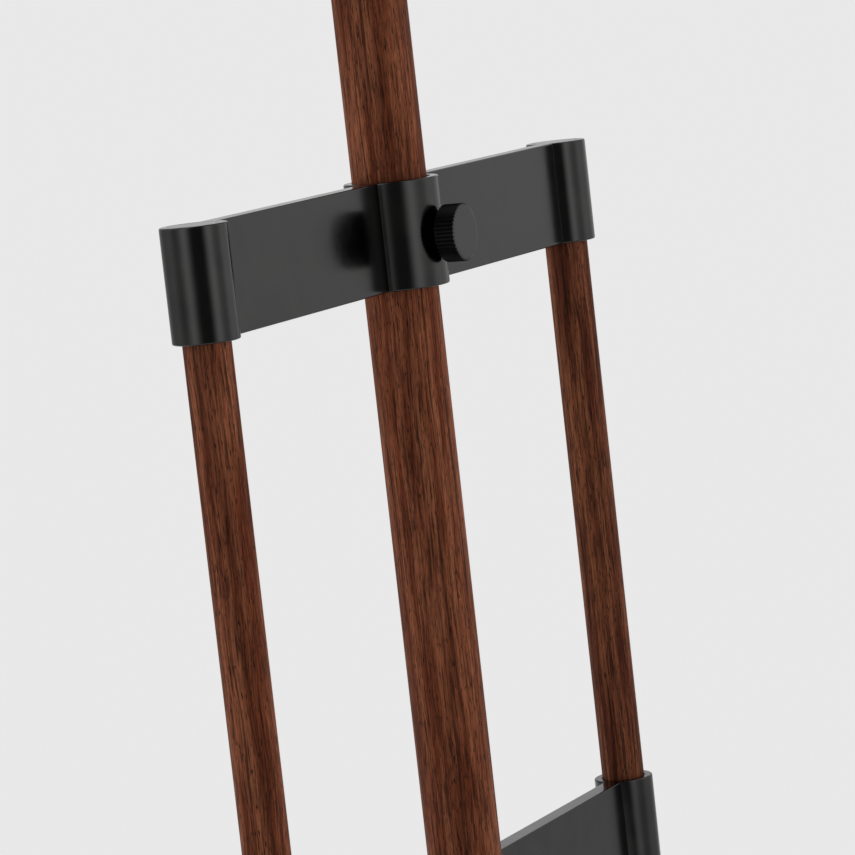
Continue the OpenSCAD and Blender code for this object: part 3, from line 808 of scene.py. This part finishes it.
for screw, front in (("lock", True), ("ledge", False), ("holder", False)):
    node = screw + "_knob"
    place = screw_place(node, front)
    _, _, radius, neck_low, high = round_size(node, place)
    # The head starts with the first points near its full radius, and the neck with the lowest ones
    points = local_points(node, place)
    rim_points = [p for p in points if p.xy.length > 0.95 * radius]
    neck_points = [p for p in points if p.z < neck_low + 0.1 * MM]
    values = {
        "Radius": radius, "Low": min(p.z for p in rim_points), "High": high, "Ridges": RIDGES,
        "Ridge depth": RIDGE_DEPTH, "Chamfer": CHAMFER, "Rim": RIM, "Rim drop": RIM_DROP,
        "Neck radius": max(p.xy.length for p in neck_points), "Neck low": neck_low,
        "Material": black_metal}
    head = grow(screw + "_thumbscrew_head", head_tree, values, place)
    finish_piece(shade(head, sharp=24), screw + "_screw", black_metal, [node])
    # Ridges and neck, whose faces look sideways, have the grip's finish, which is darker and rougher than
    # the face
    head.data.materials.append(grip_metal)
    out = place.to_3x3() @ Vector((0, 0, 1))
    for face in head.data.polygons:
        face.material_index = 1 if abs(face.normal.dot(out)) < 0.3 else 0

# %% [markdown]
# ## Screws
# Button-head screws hold the plates, boards and the leg's socket. They repeat, so one tree makes
# a tapered head with a hexagon socket and puts a copy at every given point. The heads stand in
# even rows, and a row's length is read from the solid.


# %% The tree of a socket screw's head
HEAD_H = 2.6 * MM
CROWN_SHARE = 0.72           # top of a head, to its radius
SOCKET_SHARE = 0.36          # socket, to a head's radius
SOCKET_DEPTH_SHARE = 1.2     # cutter of the socket, half in and half out, to a head's height
PLATE_SCREW_R = 4.25 * MM
WOOD_SCREW_R = 3.6 * MM


def socket_screw_tree():
    tree, start = new_tree("button-head screw", {
        "Radius": "f", "Height": "f", "Socket": "f", "Material": "m"})
    calc = calculator(tree)
    crown = calc("MULTIPLY", start["Radius"], CROWN_SHARE)
    head = add(tree, "GeometryNodeMeshCone", {"fill_type": "NGON"}, Vertices=40, Side__Segments=1,
               Radius__Top=crown, Radius__Bottom=start["Radius"], Depth=start["Height"]).outputs["Mesh"]
    depth = calc("MULTIPLY", start["Height"], SOCKET_DEPTH_SHARE)
    socket = add(tree, "GeometryNodeMeshCylinder", {"fill_type": "NGON"}, Vertices=6,
                 Radius=start["Socket"], Depth=depth).outputs["Mesh"]
    socket = lifted(tree, socket, start["Height"])
    hollow = add(tree, "GeometryNodeMeshBoolean", {"operation": "DIFFERENCE", "solver": "EXACT"}, i0=head)
    tree.links.new(socket, hollow.inputs["Mesh 2"])
    end_tree(tree, on_each_point(tree, hollow.outputs["Mesh"], start), start)
    return tree


screw_tree = socket_screw_tree()


# %% Rows of screws
def screw_row(name, node, body, place, radius, count, axis=0):
    """An even row along x (axis 0) or y (axis 1) of a place whose +Z points out of the surface."""
    low, high = local_box(node, place)
    points = []
    for i in range(count):
        point = (low + high) / 2
        point.z = high.z - HEAD_H
        if count > 1:
            free = high[axis] - low[axis] - 2 * radius
            point[axis] = low[axis] + radius + free * i / (count - 1)
        points.append(point)
    values = {"Radius": radius, "Height": HEAD_H, "Socket": radius * SOCKET_SHARE, "Material": steel}
    obj = grow(name, screw_tree, values, place, points)
    return finish_piece(shade(obj), body, steel, [node])


FRONT = LEAN @ Matrix.Rotation(math.pi / 2, 4, "X")             # +Z towards the front, +Y up
BELOW = LEAN @ Matrix.Rotation(math.pi, 4, "X")                 # +Z down along the posts
BEHIND_LEG = LEG @ Matrix.Rotation(-math.pi / 2, 4, "X")
for body, board_side in (("ledge", BELOW), ("holder", LEAN)):
    screw_row(body + "_plate_bolts", body + "_plate_screws", body, FRONT, PLATE_SCREW_R, 2)
    screw_row(body + "_lip_bolts", body + "_lip_screws", body, FRONT, WOOD_SCREW_R, 3)
    screw_row(body + "_board_bolts", body + "_board_screws", body, board_side, WOOD_SCREW_R, 2, axis=1)
screw_row("leg_socket_bolt", "leg_socket_screw", "leg", BEHIND_LEG, WOOD_SCREW_R, 1)

# %% [markdown]
# ## Small solids that stay as they are
# Grub screws, the hinge's screws and clip, the threaded studs and their nylon tips are right as
# solids. They only get their finish.

# %% Finishes for the solids that stay
for node, material in (
    ("grub_screws", steel), ("hinge_bracket_screws", steel), ("hinge_pin_clip", steel),
    ("lock_stud", steel), ("ledge_stud", steel), ("holder_stud", steel),
    ("lock_tip", nylon), ("ledge_tip", nylon), ("holder_tip", nylon),
):
    mesh = frame["nodes"][node].data
    mesh.materials.clear()
    mesh.materials.append(material)
print("small solids finished")

# %% [markdown]
# ## Floor, light and camera
# The easel stands on a plain pale floor that runs on as the backdrop. Satin metal shows what is
# around it, so what it mirrors is made as one ring of soft panels: bright to both sides, and dark
# where the viewer stands, in front on the left. The ring is only there for reflections. The shape
# is lit by an even pale sky and two large soft lights, one behind on the left and one in front on
# the right.

# %% Floor and even light
PALE = 0.812          # linear grey of the backdrop
SKY = 0.40            # light of the even sky on the easel
FLOOR_TONE = 0.6      # what the floor gives back of that light
HALF_FLOOR = 60


def bare_material(name):
    """A material whose tree is empty, and its tree."""
    material, tree, _ = new_material(name)
    tree.nodes.clear()
    return material, tree


scene = bpy.context.scene
scene.view_settings.view_transform = "Standard"
world = scene.world or bpy.data.worlds.new("studio")
scene.world = world
world.use_nodes = True
world.cycles_visibility.glossy = False
tree = world.node_tree
tree.nodes.clear()
seen = add(tree, "ShaderNodeBackground", Color=grey(PALE), Strength=1.0).outputs[0]
sky = add(tree, "ShaderNodeBackground", Color=grey(1), Strength=SKY).outputs[0]
is_seen = add(tree, "ShaderNodeLightPath").outputs["Is Camera Ray"]
both = add(tree, "ShaderNodeMixShader", i0=is_seen, i1=sky, i2=seen).outputs[0]
add(tree, "ShaderNodeOutputWorld", Surface=both)

# The floor glows by what it lacks, so that it is as bright as the backdrop
floor_paint, tree = bare_material("pale floor")
matt = add(tree, "ShaderNodeBsdfDiffuse", Color=grey(FLOOR_TONE)).outputs[0]
glow = add(tree, "ShaderNodeEmission", Color=grey(1), Strength=PALE - FLOOR_TONE * SKY).outputs[0]
both = add(tree, "ShaderNodeAddShader", i0=matt, i1=glow).outputs[0]
add(tree, "ShaderNodeOutputMaterial", Surface=both)
floor_mesh = bpy.data.meshes.new("floor")
corners = [(x * HALF_FLOOR, y * HALF_FLOOR, 0) for x, y in ((-1, -1), (1, -1), (1, 1), (-1, 1))]
floor_mesh.from_pydata(corners, [], [(0, 1, 2, 3)])
floor_mesh.materials.append(floor_paint)
floor = new_object("floor", floor_mesh)

# %% Ring of soft panels for reflections
RING_R = 1.9
RING_COLUMNS = 180
LID_TONE = 0.5        # middle of the lid that closes the ring at the top
# Brightness by compass angle round the easel, 0 at the front and 90 at the right
PANELS = [(-180, 0.6), (-160, 1.0), (-150, 1.2), (-140, 1.1), (-130, 0.75), (-120, 0.62), (-112, 0.85),
          (-104, 1.35), (-96, 1.75), (-88, 1.35), (-82, 0.75), (-76, 0.32), (-69, 0.12), (-42, 0.10),
          (-35, 0.42), (-28, 1.1), (-20, 1.6), (-12, 1.4), (-3, 0.9), (8, 0.7), (18, 0.82),
          (30, 1.25), (43, 1.12), (56, 0.77), (80, 0.62), (117, 0.68), (150, 0.5), (180, 0.6)]
# The panels dim towards the floor: height in metres and share of full brightness
STEPS = [(0.01, 0.64), (0.54, 0.72), (0.68, 1.0), (3.2, 1.05)]


def compass_point(compass, distance, height):
    angle = math.radians(compass)
    return distance * math.sin(angle), -distance * math.cos(angle), height


def panel_brightness(compass):
    for (start, first), (end, last) in zip(PANELS, PANELS[1:]):
        if start <= compass < end:
            return first + (last - first) * (compass - start) / (end - start)


bm = bmesh.new()
tone = bm.verts.layers.float_color.new("tone")
columns = []
for k in range(RING_COLUMNS):
    compass = -180 + 360 * k / RING_COLUMNS
    columns.append([])
    for height, share in STEPS:
        vert = bm.verts.new(compass_point(compass, RING_R, height))
        vert[tone] = grey(panel_brightness(compass) * share)
        columns[k].append(vert)
centre = bm.verts.new((0, 0, STEPS[-1][0]))
centre[tone] = grey(LID_TONE)
for here, there in zip(columns, columns[1:] + columns[:1]):
    for low in range(len(STEPS) - 1):
        bm.faces.new((here[low], there[low], there[low + 1], here[low + 1]))
    bm.faces.new((here[-1], there[-1], centre))
ring_mesh = bpy.data.meshes.new("panels")
bm.to_mesh(ring_mesh)
bm.free()
panel_paint, tree = bare_material("soft panel")
painted = add(tree, "ShaderNodeVertexColor", {"layer_name": "tone"}).outputs["Color"]
glow = add(tree, "ShaderNodeEmission", Color=painted, Strength=1.0).outputs[0]
add(tree, "ShaderNodeOutputMaterial", Surface=glow)
ring_mesh.materials.append(panel_paint)
ring = new_object("reflection_panels", ring_mesh)
for ray in ("camera", "diffuse", "transmission", "volume_scatter", "shadow"):
    setattr(ring, "visible_" + ray, False)

# %% Two soft lights that light the easel and not the floor
LIGHT_AWAY = 2.6
LIGHT_HEIGHT = 1.5
LIGHT_AIM = Vector((0, 0, 0.75))
easel = [obj for obj in scene.objects if obj.type == "MESH" and obj not in (floor, ring)]
for name, compass in (("left soft light", -152), ("right soft light", 22)):
    light = bpy.data.lights.new(name, "AREA")
    light.shape = "RECTANGLE"
    light.size = 1.2
    light.size_y = 2.2
    light.energy = 36
    lamp = new_object(name, light)
    lamp.location = compass_point(compass, LIGHT_AWAY, LIGHT_HEIGHT)
    lamp.rotation_euler = (LIGHT_AIM - lamp.location).to_track_quat("-Z", "Y").to_euler()
    lamp.visible_glossy = False
    lamp.visible_camera = False
    lit = bpy.data.collections.new(name + " lights")
    lamp.light_linking.receiver_collection = lit
    for obj in easel:
        lit.objects.link(obj)

# %% The camera
# It aims past a known point, the mast's axis at the top of the upper bracket
TURN, TILT = math.radians(64.575), math.radians(9.59)
AWAY, ASIDE, BELOW_POINT = 2.3932, 0.02085, 0.13490
forward = Vector((math.sin(TURN) * math.cos(TILT), math.cos(TURN) * math.cos(TILT), -math.sin(TILT)))
right = Vector((math.cos(TURN), -math.sin(TURN), 0))
up = right.cross(forward)
anchor = LEAN @ Vector((0, 0, bracket_high.z))
camera_data = bpy.data.cameras.new("camera")
camera_data.sensor_width = 36
camera_data.lens = 185.26
camera_data.clip_end = 200
camera = new_object("camera", camera_data)
camera.location = anchor - AWAY * forward + ASIDE * right - BELOW_POINT * up
camera.rotation_euler = forward.to_track_quat("-Z", "Y").to_euler()
scene.camera = camera
print("camera at", [round(c, 3) for c in camera.location])
